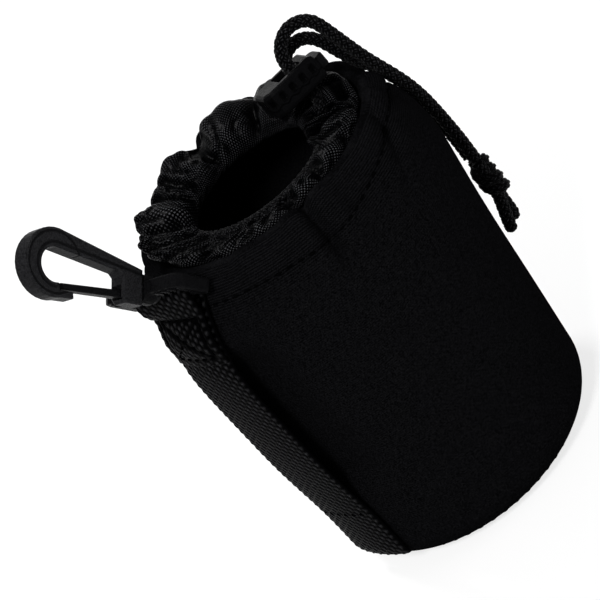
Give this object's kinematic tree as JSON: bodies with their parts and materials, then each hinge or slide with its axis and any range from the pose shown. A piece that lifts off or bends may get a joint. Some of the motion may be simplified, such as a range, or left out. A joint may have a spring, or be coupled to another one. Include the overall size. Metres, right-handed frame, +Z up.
{
  "type": "lens pouch",
  "caption": "Soft neoprene lens pouch with a gathered drawcord mouth, cord lock, webbing back strap with belt loop and swivel snap hook.",
  "frame": {"origin": "centre of the flat base, on its underside", "axes": "+Z up along the pouch, -X towards the back strap and hook, +X towards the hanging drawcord"},
  "size_m": [0.1123, 0.087, 0.1409],
  "materials": {
    "neoprene": "matte knitted face on foam rubber",
    "nylon": "shiny plain weave",
    "cord": "round braid",
    "webbing": "coarse woven tape",
    "plastic": "moulded, half matte",
    "steel": "drawn wire"
  },
  "bodies": {
    "pouch": {"body_wall": "neoprene", "base_disc": "neoprene", "collar_casing": "nylon", "drawcord": "cord", "back_strap": "webbing"},
    "lock": {"lock_body": "plastic", "lock_spring": "steel", "cord_strand_near": "cord", "cord_strand_far": "cord", "cord_knot": "cord", "cord_tail_near": "cord", "cord_tail_far": "cord"},
    "plunger": {"lock_plunger": "plastic"},
    "swivel": {"swivel_base": "plastic"},
    "hook": {"hook_body": "plastic"},
    "gate": {"hook_gate": "plastic"}
  },
  "joints": [
    {"name": "lock_lift", "type": "slide", "parent": "pouch", "child": "lock", "axis": [0.0779, 0.1928, 0.9781], "range_m": [0, 0.012]},
    {"name": "plunger_press", "type": "slide", "parent": "lock", "child": "plunger", "axis": [-0.9272, 0.3746, 0], "range_m": [0, 0.0028], "stiffness_N_per_m": 900, "springref_m": -0.004, "deforming": ["lock_spring"]},
    {"name": "fold_pivot", "type": "hinge", "parent": "pouch", "child": "swivel", "pos_m": [-0.03492, 0, 0.1018], "axis": [0.1561, -0.9858, 0.061], "range_deg": [-35, 65]},
    {"name": "hook_swivel", "type": "hinge", "parent": "swivel", "child": "hook", "pos_m": [-0.03891, -0.00025, 0.10791], "axis": [-0.5459, -0.0346, 0.8371], "continuous": true},
    {"name": "gate_open", "type": "hinge", "parent": "hook", "child": "gate", "pos_m": [-0.04374, -0.00081, 0.11126], "axis": [-0.1561, 0.9858, -0.061], "range_deg": [0, 18], "stiffness_Nm_per_rad": 0.15, "springref_deg": -5.73}
  ]
}
